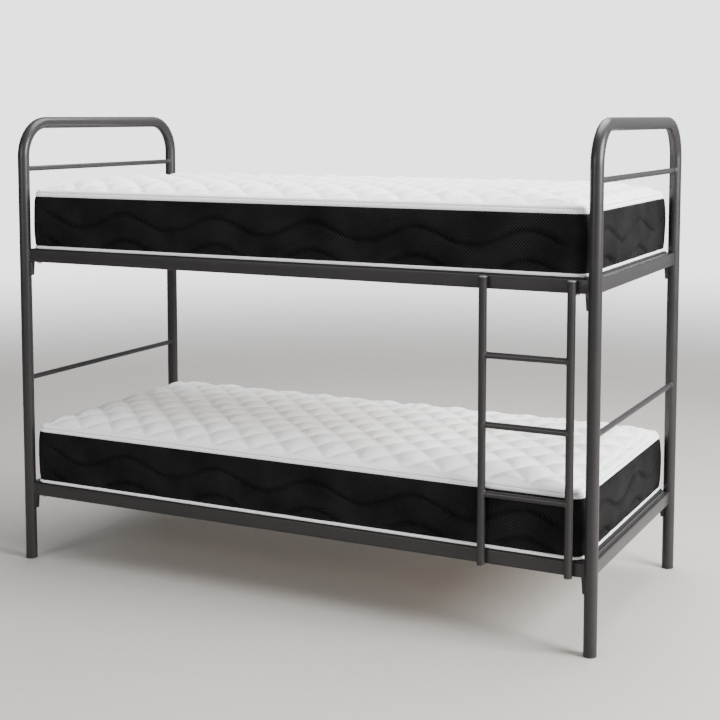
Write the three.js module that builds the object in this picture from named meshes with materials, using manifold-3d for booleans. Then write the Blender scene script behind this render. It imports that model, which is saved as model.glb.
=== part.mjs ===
// Steel bunk bed with a lift-off ladder and two loose mattresses, in millimetres.
// X runs along the bed, the ladder hangs on the -Y side near the +X end, and Z = 0 is the floor.
import * as THREE from "three";
import { mergeVertices } from "three/addons/utils/BufferGeometryUtils.js";
import Module from "manifold-3d";

// end frames
const postX = 1030; // post centre lines, half the spacing
const postY = 450;
const tubeRadius = 20;
const tubeWall = 1.5;
const topTubeHeight = 1546;
const bendRadius = 120;
const guardBarHeight = 1386;
const midBarHeight = 648;
const barRadius = 9;
const barWall = 1.2;

// rails: rectangular tube, its outer face a little outside the post centre lines
const railUnderside = { upper: 1062, lower: 231 };
const railHeight = 42;
const railDepth = 25;
const railWall = 1.5;
const railOutset = 5;
const railCorner = 2.5;
const sideRailEnd = 1016; // coped round the post from here
const ledgeDepth = 25;
const ledgeThickness = 2;
const endLedgeReach = 400; // half the length of an end rail's ledge, clear of the side rails' ledges

// folded lugs on the posts, under the side rails
const lugDrop = 48;
const lugTopReach = 29; // from the post centre line
const lugBottomReach = 25;
const lugOuter = 3; // where its outer cheek stands, outside the post centre line
const lugWidth = 18;
const lugSteel = 3;

// feet
const footHeight = 4;
const footPlug = 24;

// slats
const slatsPerLevel = 9;
const slatPitch = 212;
const slatWidth = 90;
const slatThickness = 8;
const slatHalfLength = 427;
const slatAboveRail = 4;

// mattresses
const mattressX = 1000; // half sizes
const mattressY = 450;
const mattressThickness = 202;
const mattressCorner = 42;
const mattressEdge = 12;
const mattressCrown = [[20, 5], [45, 11], [80, 17.5], [125, 24], [180, 28.5], [240, 30]]; // in from the edge, rise

// ladder
const ladderX = 830;
const stileSpacing = 272;
const stileRadius = 12.5;
const stileWall = 1.2;
const ladderTop = 1102;
const ladderBottom = 227;
const rungHeights = [866, 657, 448];
const rungRadius = 10;
const rungWall = 1.2;
const ladderGap = 0.6; // stile to rail
const topCapHeight = 4;
const bottomCapHeight = 3;

// hooks on the ladder and their slots in the front rails, heights above the rail's underside
const hookThickness = 4;
const slotWidth = 5;
const slotBottom = 13;
const slotTop = 38.5;
const neckHeight = 12;
const noseDrop = 10.5;
const noseDepth = 5;

const fit = 0.3; // clearance between touching pieces
const round = 32; // sides of a large tube
const ends = [["left", -1], ["right", 1]];
const sides = [["front", -1], ["back", 1]];
const levels = Object.entries(railUnderside);

const wasm = await Module();
wasm.setup();

const steel = { color: 0x4b494a, roughness: 0.42, metalness: 0.35 };
const poplar = { color: 0xd9bf94, roughness: 0.65, metalness: 0 };
const blackPlastic = { color: 0x161616, roughness: 0.5, metalness: 0 };
const mattressCloth = { color: 0xeeeeec, roughness: 0.9, metalness: 0 };

const bed = new THREE.Group();
bed.name = "bunk_bed_with_ladder";
bed.position.y = railOutset / 2 + ladderGap / 2 + stileRadius - tubeRadius / 2; // centres the outline on Y = 0

function solid(geometry) {
  const bare = geometry.clone();
  bare.deleteAttribute("normal");
  bare.deleteAttribute("uv");
  const merged = mergeVertices(bare, 1e-3);
  return new wasm.Manifold(
    new wasm.Mesh({
      numProp: 3,
      vertProperties: merged.attributes.position.array,
      triVerts: new Uint32Array(merged.index.array),
    }),
  );
}

function add(name, shape, material) {
  const mesh = shape.getMesh();
  const geometry = new THREE.BufferGeometry();
  geometry.setAttribute("position", new THREE.BufferAttribute(mesh.vertProperties, 3));
  geometry.setIndex(new THREE.BufferAttribute(mesh.triVerts, 1));
  const piece = new THREE.Mesh(geometry, new THREE.MeshStandardMaterial(material));
  piece.geometry.computeVertexNormals();
  piece.name = name;
  bed.add(piece);
}

function block(x0, x1, y0, y1, z0, z1) {
  const box = new THREE.BoxGeometry(Math.abs(x1 - x0), Math.abs(y1 - y0), z1 - z0);
  return solid(box.translate((x0 + x1) / 2, (y0 + y1) / 2, (z0 + z1) / 2));
}

function circle(radius, sides) {
  return Array.from({ length: sides }, (_, i) => {
    const turn = ((i + 0.5) / sides) * Math.PI * 2;
    return new THREE.Vector2(radius * Math.cos(turn), radius * Math.sin(turn));
  });
}

function roundedRectangle(x0, x1, y0, y1, radius, steps) {
  const corners = [[x1 - radius, y1 - radius], [x0 + radius, y1 - radius],
    [x0 + radius, y0 + radius], [x1 - radius, y0 + radius]];
  return corners.flatMap(([cx, cy], quarter) =>
    Array.from({ length: steps + 1 }, (_, i) => {
      const turn = (quarter + i / steps) * (Math.PI / 2);
      return new THREE.Vector2(cx + radius * Math.cos(turn), cy + radius * Math.sin(turn));
    }),
  );
}

// An outline drawn in two axes and pulled along the third, with an optional hole.
function pull(outline, hole, from, to, axis) {
  const shape = new THREE.Shape(outline);
  if (hole) shape.holes.push(new THREE.Path(hole));
  const bar = new THREE.ExtrudeGeometry(shape, { depth: to - from, bevelEnabled: false });
  bar.translate(0, 0, from);
  if (axis === "x") bar.applyMatrix4(new THREE.Matrix4().set(0, 0, 1, 0, 1, 0, 0, 0, 0, 1, 0, 0, 0, 0, 0, 1));
  if (axis === "y") bar.applyMatrix4(new THREE.Matrix4().set(0, 1, 0, 0, 0, 0, 1, 0, 1, 0, 0, 0, 0, 0, 0, 1));
  return solid(bar);
}

function pipe(radius, wall, from, to, axis, sides, at) {
  const hole = wall ? circle(radius - wall, sides) : null;
  return pull(circle(radius, sides), hole, from, to, axis).translate(at);
}

function turned(profile, sides, at) {
  const outline = profile.map(([r, z]) => new THREE.Vector2(r, z));
  const lathe = new THREE.LatheGeometry(outline, sides).rotateX(Math.PI / 2);
  return solid(lathe).translate(at);
}

// A curve given by its stations, so that each straight run is a single step.
class Stations extends THREE.Curve {
  constructor(points, tangents) {
    super();
    this.points = points;
    this.tangents = tangents;
  }
  getSpacedPoints() {
    return this.points;
  }
  getTangentAt(u) {
    return this.tangents[Math.round(u * (this.points.length - 1))].clone();
  }
}

function hoopPath(x) {
  const points = [new THREE.Vector3(x, -postY, footHeight + fit)];
  const tangents = [new THREE.Vector3(0, 0, 1)];
  const steps = 8;
  for (const side of [-1, 1])
    for (let i = 0; i <= steps; i++) {
      const turn = ((side < 0 ? i : steps + i) / steps) * (Math.PI / 2);
      const y = side * (postY - bendRadius) - bendRadius * Math.cos(turn);
      points.push(new THREE.Vector3(x, y, topTubeHeight - bendRadius + bendRadius * Math.sin(turn)));
      tangents.push(new THREE.Vector3(0, Math.sin(turn), Math.cos(turn)));
    }
  points.push(new THREE.Vector3(x, postY, footHeight + fit));
  tangents.push(new THREE.Vector3(0, 0, -1));
  return new Stations(points, tangents);
}

function hoop(x) {
  const path = hoopPath(x);
  const shape = new THREE.Shape(circle(tubeRadius, round));
  shape.holes.push(new THREE.Path(circle(tubeRadius - tubeWall, round)));
  const steps = path.points.length - 1;
  return solid(new THREE.ExtrudeGeometry(shape, { steps, bevelEnabled: false, extrudePath: path }));
}

function post(x, y) {
  return pipe(tubeRadius + fit, 0, 0, topTubeHeight, "z", round, [x, y, 0]);
}

function crossBar(x, z) {
  const bar = pipe(barRadius, barWall, -postY, postY, "y", 20, [x, 0, z]);
  return bar.subtract(post(x, -postY)).subtract(post(x, postY));
}

// Rail tube outline across its length: "out" is away from the bed's middle.
function railOutline(centreLine, way, z0) {
  const outer = way * (centreLine + railOutset);
  const inner = way * (centreLine + railOutset - railDepth);
  const [a, b] = [Math.min(outer, inner), Math.max(outer, inner)];
  const w = railWall;
  return {
    outline: roundedRectangle(a, b, z0, z0 + railHeight, railCorner, 3),
    hole: roundedRectangle(a + w, b - w, z0 + w, z0 + railHeight - w, railCorner - w, 1),
    inner,
  };
}

const swap = (points) => points.map((p) => new THREE.Vector2(p.y, p.x)).reverse();

function sideRail(way, z0) {
  const { outline, hole, inner } = railOutline(postY, way, z0);
  let rail = pull(outline, hole, -sideRailEnd, sideRailEnd, "x");
  const ledgeTop = z0 + railHeight + slatAboveRail - slatThickness - fit;
  const reach = inner - way * ledgeDepth;
  rail = rail.add(block(-1000, 1000, inner + way, reach, ledgeTop - ledgeThickness, ledgeTop));
  for (const [, end] of ends) rail = rail.subtract(post(end * postX, way * postY));
  if (way < 0) for (const x of stileCentres) rail = rail.subtract(hookSlot(x, z0));
  return rail;
}

function hookSlot(x, z0) {
  const face = -(postY + railOutset);
  const half = slotWidth / 2;
  return block(x - half, x + half, face - 2, face + railWall + 2, z0 + slotBottom, z0 + slotTop);
}

function endRail(way, z0) {
  const { outline, hole, inner } = railOutline(postX, way, z0);
  const reach = postY - tubeRadius - fit;
  const rail = pull(swap(outline), swap(hole), -reach, reach, "y");
  const ledgeTop = z0 + railHeight + slatAboveRail - slatThickness - fit;
  return rail.add(block(inner + way, inner - way * ledgeDepth, -endLedgeReach, endLedgeReach,
    ledgeTop - ledgeThickness, ledgeTop));
}

function lug(end, side, z0) {
  const top = z0 - fit;
  const wedge = (inset) => {
    const foot = top - lugDrop - (inset ? 1 : 0);
    const reach = (r) => end * (postX - r + inset);
    const outline = [[end * postX, top - inset], [reach(lugTopReach), top - inset],
      [reach(lugBottomReach), foot], [end * postX, foot]];
    const from = side * (postY + lugOuter - inset);
    const to = side * (postY + lugOuter - lugWidth + inset);
    const points = outline.map(([x, z]) => new THREE.Vector2(z, x));
    return pull(points, null, Math.min(from, to), Math.max(from, to), "y");
  };
  return wedge(0).subtract(wedge(lugSteel)).subtract(post(end * postX, side * postY));
}

function foot(x, y) {
  const plug = tubeRadius - tubeWall - fit;
  return turned([[0, 0], [tubeRadius - 1, 0], [tubeRadius, 1], [tubeRadius, footHeight],
    [plug, footHeight], [plug, footPlug], [0, footPlug]], round, [x, y, 0]);
}

function slat(x, z0) {
  const bottom = z0 + railHeight + slatAboveRail - slatThickness;
  const outline = roundedRectangle(bottom, bottom + slatThickness, x - slatWidth / 2, x + slatWidth / 2, 2, 2);
  return pull(outline, null, -slatHalfLength, slatHalfLength, "y");
}

function mattress(z0) {
  const bottom = z0 + railHeight + slatAboveRail + fit;
  const inset = (e) => roundedRectangle(-mattressX + e, mattressX - e, -mattressY + e, mattressY - e,
    Math.max(mattressCorner - e, 2), 6);
  const layers = [];
  for (let i = 0; i <= 3; i++) {
    const turn = (i / 3) * (Math.PI / 2);
    layers.push([mattressEdge * (1 - Math.sin(turn)), mattressEdge * (1 - Math.cos(turn))]);
  }
  const top = layers.map(([e, h]) => [e, mattressThickness - h]).reverse();
  const crown = mattressCrown.map(([e, rise]) => [e, mattressThickness + rise]);
  return stack([...layers, ...top, ...crown].map(([e, h]) => ({ outline: inset(e), z: bottom + h })));
}

// Closed skin over a stack of outlines that all have the same number of points.
function stack(rings) {
  const count = rings[0].outline.length;
  const positions = rings.flatMap(({ outline, z }) => outline.flatMap((p) => [p.x, p.y, z]));
  const index = [];
  for (let r = 0; r + 1 < rings.length; r++)
    for (let i = 0; i < count; i++) {
      const a = r * count + i;
      const b = r * count + ((i + 1) % count);
      index.push(a, b, b + count, a, b + count, a + count);
    }
  const lid = THREE.ShapeUtils.triangulateShape(rings[0].outline, []);
  const last = (rings.length - 1) * count;
  for (const [a, b, c] of lid) index.push(a, c, b, last + a, last + b, last + c);
  const skin = new THREE.BufferGeometry();
  skin.setAttribute("position", new THREE.Float32BufferAttribute(positions, 3));
  skin.setIndex(index);
  return solid(skin);
}

const stileCentres = [ladderX - stileSpacing / 2, ladderX + stileSpacing / 2];
const stileY = -(postY + railOutset + ladderGap + stileRadius);

function stile(x) {
  const from = ladderBottom + bottomCapHeight + fit;
  const to = ladderTop - topCapHeight - fit;
  return pipe(stileRadius, stileWall, from, to, "z", 24, [x, stileY, 0]);
}

function stileCore(x) {
  return pipe(stileRadius + fit, 0, ladderBottom, ladderTop, "z", 24, [x, stileY, 0]);
}

function rung(z) {
  const [a, b] = stileCentres;
  const bar = pipe(rungRadius, rungWall, a, b, "x", 20, [0, stileY, z]);
  return bar.subtract(stileCore(a)).subtract(stileCore(b));
}

function topCap(x) {
  const plug = stileRadius - stileWall - fit;
  const flange = ladderTop - topCapHeight;
  return turned([[0, flange - 14], [plug, flange - 14], [plug, flange], [stileRadius, flange],
    [stileRadius, flange + 1.5], [stileRadius - 1.2, flange + 3], [stileRadius - 4, ladderTop - 0.2],
    [0, ladderTop]], 24, [x, stileY, 0]);
}

function bottomCap(x) {
  const plug = stileRadius - stileWall - fit;
  const flange = ladderBottom + bottomCapHeight;
  return turned([[0, ladderBottom], [stileRadius - 1, ladderBottom], [stileRadius, ladderBottom + 1],
    [stileRadius, flange], [plug, flange], [plug, flange + 14], [0, flange + 14]], 24, [x, stileY, 0]);
}

// Plate behind the stile: a neck through the slot and a nose that drops behind the rail's wall.
function hook(x, z0) {
  const wallBack = -(postY + railOutset) + railWall + 0.4;
  const throat = z0 + slotBottom + fit;
  const half = hookThickness / 2;
  const neck = block(x - half, x + half, stileY, wallBack + noseDepth, throat, throat + neckHeight);
  const nose = block(x - half, x + half, wallBack, wallBack + noseDepth, throat - noseDrop, throat + 1);
  return neck.add(nose).subtract(stileCore(x));
}

for (const [end, ex] of ends) {
  add(`${end}_hoop`, hoop(ex * postX), steel);
  add(`${end}_guard_bar`, crossBar(ex * postX, guardBarHeight), steel);
  add(`${end}_mid_bar`, crossBar(ex * postX, midBarHeight), steel);
  for (const [side, sy] of sides) add(`foot_${side}_${end}`, foot(ex * postX, sy * postY), blackPlastic);
}

for (const [level, z0] of levels) {
  for (const [end, ex] of ends) add(`${level}_${end}_end_rail`, endRail(ex, z0), steel);
  for (const [side, sy] of sides) {
    add(`${level}_${side}_rail`, sideRail(sy, z0), steel);
    for (const [end, ex] of ends) add(`${level}_${side}_${end}_lug`, lug(ex, sy, z0), steel);
  }
  for (let i = 0; i < slatsPerLevel; i++)
    add(`${level}_slat_${i + 1}`, slat((i - (slatsPerLevel - 1) / 2) * slatPitch, z0), poplar);
  add(`${level}_mattress`, mattress(z0), mattressCloth);
}

stileCentres.forEach((x, i) => {
  const end = ends[i][0];
  add(`ladder_${end}_stile`, stile(x), steel);
  add(`ladder_${end}_top_cap`, topCap(x), blackPlastic);
  add(`ladder_${end}_bottom_cap`, bottomCap(x), blackPlastic);
  for (const [level, z0] of levels) add(`ladder_${level}_${end}_hook`, hook(x, z0), steel);
});
rungHeights.forEach((z, i) => add(`ladder_rung_${i + 1}`, rung(z), steel));

export default bed;
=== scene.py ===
import math
import bpy
import numpy as np
from mathutils import Matrix, Vector


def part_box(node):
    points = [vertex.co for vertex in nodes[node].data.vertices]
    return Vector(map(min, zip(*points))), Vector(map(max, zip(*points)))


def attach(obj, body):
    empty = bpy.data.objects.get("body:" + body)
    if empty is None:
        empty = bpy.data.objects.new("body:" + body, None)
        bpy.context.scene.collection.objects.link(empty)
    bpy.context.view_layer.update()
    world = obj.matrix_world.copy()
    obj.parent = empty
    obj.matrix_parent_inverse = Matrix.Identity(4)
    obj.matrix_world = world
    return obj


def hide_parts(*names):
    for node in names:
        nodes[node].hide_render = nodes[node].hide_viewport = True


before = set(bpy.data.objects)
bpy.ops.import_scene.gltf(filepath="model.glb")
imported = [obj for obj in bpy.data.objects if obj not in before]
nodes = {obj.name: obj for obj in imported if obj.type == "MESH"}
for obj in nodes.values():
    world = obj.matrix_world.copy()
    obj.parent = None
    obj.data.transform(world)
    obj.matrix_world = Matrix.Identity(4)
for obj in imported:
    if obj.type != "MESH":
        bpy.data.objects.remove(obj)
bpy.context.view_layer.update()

# Everything is in metres: x runs along the bed, y across it, z up.
ends = {"left": -1, "right": 1}
sides = {"front": -1, "back": 1}
levels = ("upper", "lower")
print("bed loaded:", len(nodes), "parts")


def putDown():
    if bpy.context.object and bpy.context.object.mode != "OBJECT":
        bpy.ops.object.mode_set(mode="OBJECT")
    bpy.ops.object.select_all(action="DESELECT")


def pickUp(piece):
    putDown()
    piece.select_set(True)
    bpy.context.view_layer.objects.active = piece


def freshPiece(name):
    piece = bpy.context.object
    piece.name = piece.data.name = name
    return piece


def settle(piece):  # leaves the piece's own origin at the world's
    pickUp(piece)
    bpy.ops.object.transform_apply(location=True, rotation=True, scale=True)


def pressModifier(piece, kind, **values):
    pickUp(piece)
    modifier = piece.modifiers.new(kind.title(), kind)
    for key, value in values.items():
        setattr(modifier, key, value)
    bpy.ops.object.modifier_apply(modifier=modifier.name)


def startShaping():  # into edit mode with everything selected
    bpy.ops.object.mode_set(mode="EDIT")
    bpy.ops.mesh.select_all(action="SELECT")


def faceOutwards(piece):
    pickUp(piece)
    startShaping()
    bpy.ops.mesh.remove_doubles(threshold=0.00001)
    bpy.ops.mesh.normals_make_consistent(inside=False)
    bpy.ops.object.mode_set(mode="OBJECT")


def smoothOver(piece, degrees):
    pickUp(piece)
    bpy.ops.object.shade_smooth_by_angle(angle=math.radians(degrees))


def roundEdges(piece, width, degrees):
    pressModifier(piece, "BEVEL", width=width, segments=2, limit_method="ANGLE", angle_limit=math.radians(degrees))


def startDisc(name, sides, radius, place, fill="NGON", turn=(0, 0, 0)):
    putDown()
    bpy.ops.mesh.primitive_circle_add(vertices=sides, radius=radius, fill_type=fill, location=place, rotation=turn)
    disc = freshPiece(name)
    settle(disc)
    startShaping()
    return disc


def growRing(up=0.0, scale=1.0):  # the selected ring or face grows by one step
    bpy.ops.mesh.extrude_region_move(TRANSFORM_OT_translate={"value": (0, 0, up)})
    if scale != 1.0:
        bpy.ops.transform.resize(value=(scale, scale, scale))


def fitPiece(piece, body, slot, finish, *stoodFor):
    piece.data.materials.clear()
    piece.data.materials.append(finish)
    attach(piece, body)
    if stoodFor:
        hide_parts(*stoodFor)
    return piece


def anotherOne(piece, name, move, *fitting):  # a copy with its own mesh, moved by a matrix
    twin = piece.copy()
    twin.data = piece.data.copy()
    twin.name = twin.data.name = name
    bpy.context.scene.collection.objects.link(twin)
    twin.data.transform(move)
    return fitPiece(twin, *fitting)


def faceOf(node, axis, way):  # where a node ends along an axis, in the way of 1 or -1
    return getattr(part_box(node)[way > 0], axis)


def postMiddle(end):
    return (faceOf(end + "_hoop", "x", -1) + faceOf(end + "_hoop", "x", 1)) / 2


def oneEach(make, spots, *fitting, **shape):  # the first is made and the others are its copies
    (firstName, start), *others = spots
    first = make(firstName, start, **shape)
    for name, place in others:
        anotherOne(first, name, Matrix.Translation(place - start), *fitting)


def shiftBetween(first, second):  # the move from one node's middle to another's
    firstLow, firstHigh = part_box(first)
    secondLow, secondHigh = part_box(second)
    return Matrix.Translation((secondLow + secondHigh - firstLow - firstHigh) / 2)


class Wiring:  # the nodes of a material or of the world
    def __init__(self, tree):
        self.tree = tree

    def add(self, kind, **values):
        node = self.tree.nodes.new("ShaderNode" + kind)
        for key, value in values.items():
            if key in node.inputs.keys():
                node.inputs[key].default_value = value
            else:
                setattr(node, key, value)
        return node

    def join(self, source, target):
        self.tree.links.new(source, target)

    def spread(self, amount, low, high, fromLow, fromHigh):
        node = self.add("MapRange")
        self.join(amount, node.inputs["Value"])
        for socket, value in (("From Min", fromLow), ("From Max", fromHigh), ("To Min", low), ("To Max", high)):
            node.inputs[socket].default_value = value
        return node.outputs["Result"]


class Finish(Wiring):  # one material
    noiseReach = (0.3, 0.7)  # nearly all of a noise's values lie between these
    sockets = {"metal": "Metallic", "shine": "Specular IOR Level", "coat": "Coat Weight", "sheen": "Sheen Weight",
               "coatRoughness": "Coat Roughness", "sheenRoughness": "Sheen Roughness"}

    def __init__(self, name, look):
        self.look = look
        self.material = bpy.data.materials.new(name)
        self.material.use_nodes = True
        super().__init__(self.material.node_tree)
        self.shader = self.tree.nodes["Principled BSDF"]
        for key, socket in self.sockets.items():
            if key in look:
                self.shader.inputs[socket].default_value = look[key]

    def stretch(self, source, scale):
        mapping = self.add("Mapping")
        mapping.inputs["Scale"].default_value = scale
        self.join(source, mapping.inputs["Vector"])
        return mapping.outputs["Vector"]

    def onPiece(self, scale=(1, 1, 1)):
        return self.stretch(self.add("TexCoord").outputs["Object"], scale)

    def onCloth(self, scale=1.0):
        return self.stretch(self.add("UVMap", uv_map="clothMap").outputs["UV"], (scale, scale, scale))

    def noise(self, where, layer):  # (scale, detail) or (scale, detail, roughness) in the look
        scale, detail, roughness = (*self.look[layer], 0.5)[:3]
        node = self.add("TexNoise", Scale=scale, Detail=detail, Roughness=roughness)
        self.join(where, node.inputs["Vector"])
        return node.outputs["Fac"]

    def bands(self, where, layer):  # (scale, distortion) in the look
        scale, distortion = self.look[layer]
        node = self.add("TexWave", bands_direction="DIAGONAL", Scale=scale, Distortion=distortion)
        self.join(where, node.inputs["Vector"])
        return node.outputs["Fac"]

    def maths(self, operation, first, second=0.0):
        node = self.add("Math", operation=operation)
        for socket, value in zip(node.inputs, (first, second)):
            if isinstance(value, (int, float)):
                socket.default_value = value
            else:
                self.join(value, socket)
        return node.outputs["Value"]

    def blend(self, first, second, share):  # the share is the first one's
        return self.maths("ADD", self.maths("MULTIPLY", first, share), self.maths("MULTIPLY", second, 1 - share))

    def lattice(self, pitch):  # rows and columns of bumps on the cloth, from -1 to 1
        split = self.add("SeparateXYZ")
        self.join(self.onCloth(1.0 / pitch), split.inputs["Vector"])
        rows = self.maths("SINE", self.maths("MULTIPLY", split.outputs["X"], math.tau))
        columns = self.maths("SINE", self.maths("MULTIPLY", split.outputs["Y"], math.tau))
        return self.maths("MULTIPLY", rows, columns)

    def tint(self, amount):
        node = self.add("ValToRGB")
        node.color_ramp.elements[0].color = (*self.look["dark"], 1)
        node.color_ramp.elements[1].color = (*self.look["light"], 1)
        self.join(amount, node.inputs["Fac"])
        self.join(node.outputs["Color"], self.shader.inputs["Base Color"])

    def gloss(self, amount):
        roughness = self.spread(amount, *self.look["gloss"], *self.noiseReach)
        self.join(roughness, self.shader.inputs["Roughness"])

    def relief(self, **layers):  # a height for each depth in the look, in metres
        normal = None
        for depth, height in layers.items():
            bump = self.add("Bump", Strength=1.0, Distance=self.look[depth])
            self.join(height, bump.inputs["Height"])
            if normal:
                self.join(normal, bump.inputs["Normal"])
            normal = bump.outputs["Normal"]
        self.join(normal, self.shader.inputs["Normal"])


steelLook = {
    "dark": (0.0165, 0.0150, 0.0152), "light": (0.0258, 0.0236, 0.0240), "gloss": (0.3, 0.38),
    "shine": 0.27, "coat": 0.06, "coatRoughness": 0.22,
    "clouds": (14.0, 4.0), "grit": (260.0, 2.0), "gritDepth": 0.000075, "peel": (700.0, 1.0), "peelDepth": 0.00005,
    "tintShare": 0.7, "glossShare": 0.5,
}


def powderCoat(name, look):
    finish = Finish(name, look)
    where = finish.onPiece()
    clouds = finish.noise(where, "clouds")
    grit = finish.noise(where, "grit")
    peel = finish.noise(where, "peel")
    finish.tint(finish.blend(clouds, grit, look["tintShare"]))
    finish.gloss(finish.blend(clouds, peel, look["glossShare"]))
    finish.relief(peelDepth=peel, gritDepth=grit)
    return finish.material


weldLook = {
    "dark": steelLook["dark"], "light": steelLook["light"], "gloss": (0.36, 0.5),
    "coat": 0.2, "coatRoughness": 0.35, "lumps": (420.0, 3.0), "lumpDepth": 0.0004,
}


def paintedWeld(name, look):  # the steel's coat over a run of weld, a little lumpier
    finish = Finish(name, look)
    lumps = finish.noise(finish.onPiece(), "lumps")
    finish.tint(lumps)
    finish.gloss(lumps)
    finish.relief(lumpDepth=lumps)
    return finish.material


zincLook = {
    "dark": (0.42, 0.42, 0.43), "light": (0.58, 0.58, 0.6), "gloss": (0.25, 0.42), "metal": 1.0,
    "clouds": (90.0, 3.0), "streaks": (300.0, 2.0), "streakScale": (1, 1, 9), "streakDepth": 0.00003,
}


def zincPlate(name, look):
    finish = Finish(name, look)
    streaks = finish.noise(finish.onPiece(look["streakScale"]), "streaks")
    finish.tint(finish.noise(finish.onPiece(), "clouds"))
    finish.gloss(streaks)
    finish.relief(streakDepth=streaks)
    return finish.material


plasticLook = {"shine": 0.45, "speckle": (1500.0, 2.0), "speckleDepth": 0.00006, "flow": (60.0, 3.0)}
plastics = {
    "footPlastic": {"dark": (0.012, 0.012, 0.012), "light": (0.024, 0.024, 0.024), "gloss": (0.5, 0.66)},
    "capPlastic": {"dark": (0.11, 0.11, 0.112), "light": (0.16, 0.16, 0.162), "gloss": (0.3, 0.42)},
    # near-black strips that stand in for the shade between the mattresses' piping and the rails
    "paintedShadeStrip": {"dark": (0.006, 0.006, 0.006), "light": (0.012, 0.012, 0.012), "gloss": (0.7, 0.85)},
}


def mouldedPlastic(name):
    finish = Finish(name, plasticLook | plastics[name])
    where = finish.onPiece()
    speckle = finish.noise(where, "speckle")
    flow = finish.noise(where, "flow")
    finish.tint(flow)
    finish.gloss(flow)
    finish.relief(speckleDepth=speckle)
    return finish.material


slatLook = {
    "dark": (0.62, 0.45, 0.27), "light": (0.78, 0.62, 0.42), "contrast": (0.36, 0.64), "gloss": (0.5, 0.64),
    "shine": 0.4, "coat": 0.08, "coatRoughness": 0.5,
    "grain": (34.0, 5.0, 0.62), "grainScale": (1.0, 0.045, 1.0), "grainDepth": 0.0002, "grainShare": 0.72,
    "fibre": (620.0, 2.0), "fibreScale": (1.0, 0.02, 1.0), "fibreDepth": 0.00012,
}


def lacqueredPoplar(name, look):
    finish = Finish(name, look)
    grain = finish.noise(finish.onPiece(look["grainScale"]), "grain")
    fibre = finish.noise(finish.onPiece(look["fibreScale"]), "fibre")
    mixed = finish.blend(grain, fibre, look["grainShare"])
    finish.tint(finish.spread(mixed, 0.0, 1.0, *look["contrast"]))
    finish.gloss(fibre)
    finish.relief(fibreDepth=fibre, grainDepth=grain)
    return finish.material


knitLook = {
    "dark": (0.86, 0.855, 0.855), "light": (0.95, 0.95, 0.95), "gloss": (0.76, 0.9),
    "shine": 0.25, "sheen": 0.25, "sheenRoughness": 0.5,
    "loop": 0.0016, "loopDepth": 0.00022, "loopShare": 0.25, "fluff": (55.0, 5.0, 0.6), "fluffDepth": 0.0012,
}


def quiltedKnit(name, look):
    finish = Finish(name, look)
    loops = finish.spread(finish.lattice(look["loop"]), 0.0, 1.0, -1.0, 1.0)
    fluff = finish.noise(finish.onCloth(), "fluff")
    finish.tint(finish.blend(loops, fluff, look["loopShare"]))
    finish.gloss(fluff)
    finish.relief(loopDepth=loops, fluffDepth=fluff)
    return finish.material


meshLook = {
    # dark is the openings: partly the black cloth behind them, partly painted shade inside them
    "dark": (0.0004, 0.0004, 0.0004), "light": (0.0230, 0.0223, 0.0234), "gloss": (0.7, 0.5), "shine": 0.09,
    "pitch": 0.0103, "depth": 0.0012, "openness": (-0.35, 0.8), "fibre": (900.0, 2.0), "fibreDepth": 0.0002,
    "worn": (7.0, 4.0), "wornFrom": (0.37, 0.63), "wornTo": (0.3, 1.0),
}


def spacerMesh(name, look):
    finish = Finish(name, look)
    cells = finish.spread(finish.lattice(look["pitch"]), 0.0, 1.0, *look["openness"])
    worn = finish.spread(finish.noise(finish.onCloth(), "worn"), *look["wornTo"], *look["wornFrom"])
    fibre = finish.noise(finish.onCloth(), "fibre")
    # The openings come out near-black: partly the black cloth behind them, partly painted shade inside them.
    finish.tint(finish.maths("MULTIPLY", cells, worn))
    finish.gloss(cells)
    finish.relief(depth=cells, fibreDepth=fibre)
    return finish.material


tapeLook = {
    "dark": (0.7, 0.7, 0.69), "light": (0.86, 0.86, 0.85), "gloss": (0.5, 0.72), "shine": 0.35, "sheen": 0.2,
    "twill": (210.0, 0.4), "twillDepth": 0.0002, "twillShare": 0.3, "fluff": (90.0, 4.0), "fluffDepth": 0.0003,
}


def pipingTape(name, look):
    finish = Finish(name, look)
    twill = finish.bands(finish.onCloth(), "twill")
    fluff = finish.noise(finish.onCloth(), "fluff")
    finish.tint(finish.blend(twill, fluff, look["twillShare"]))
    finish.gloss(fluff)
    finish.relief(twillDepth=twill, fluffDepth=fluff)
    return finish.material


threadLook = {
    "dark": (0.15, 0.15, 0.15), "light": (0.26, 0.26, 0.26), "gloss": (0.5, 0.7), "shine": 0.4, "sheen": 0.3,
    "plies": (700.0, 1.0), "plyDepth": 0.0001,
}


def spunThread(name, look):
    finish = Finish(name, look)
    plies = finish.bands(finish.onPiece(), "plies")
    finish.tint(plies)
    finish.gloss(plies)
    finish.relief(plyDepth=plies)
    return finish.material


feltLook = {
    "dark": (0.5, 0.5, 0.5), "light": (0.72, 0.72, 0.71), "gloss": (0.82, 0.95), "shine": 0.2,
    "fibres": (480.0, 4.0, 0.65), "fibreDepth": 0.0004, "fibreShare": 0.6, "blotch": (9.0, 3.0),
}


def feltBase(name, look):
    finish = Finish(name, look)
    where = finish.onCloth()
    fibres = finish.noise(where, "fibres")
    blotch = finish.noise(where, "blotch")
    finish.tint(finish.blend(fibres, blotch, look["fibreShare"]))
    finish.gloss(fibres)
    finish.relief(fibreDepth=fibres)
    return finish.material


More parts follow.
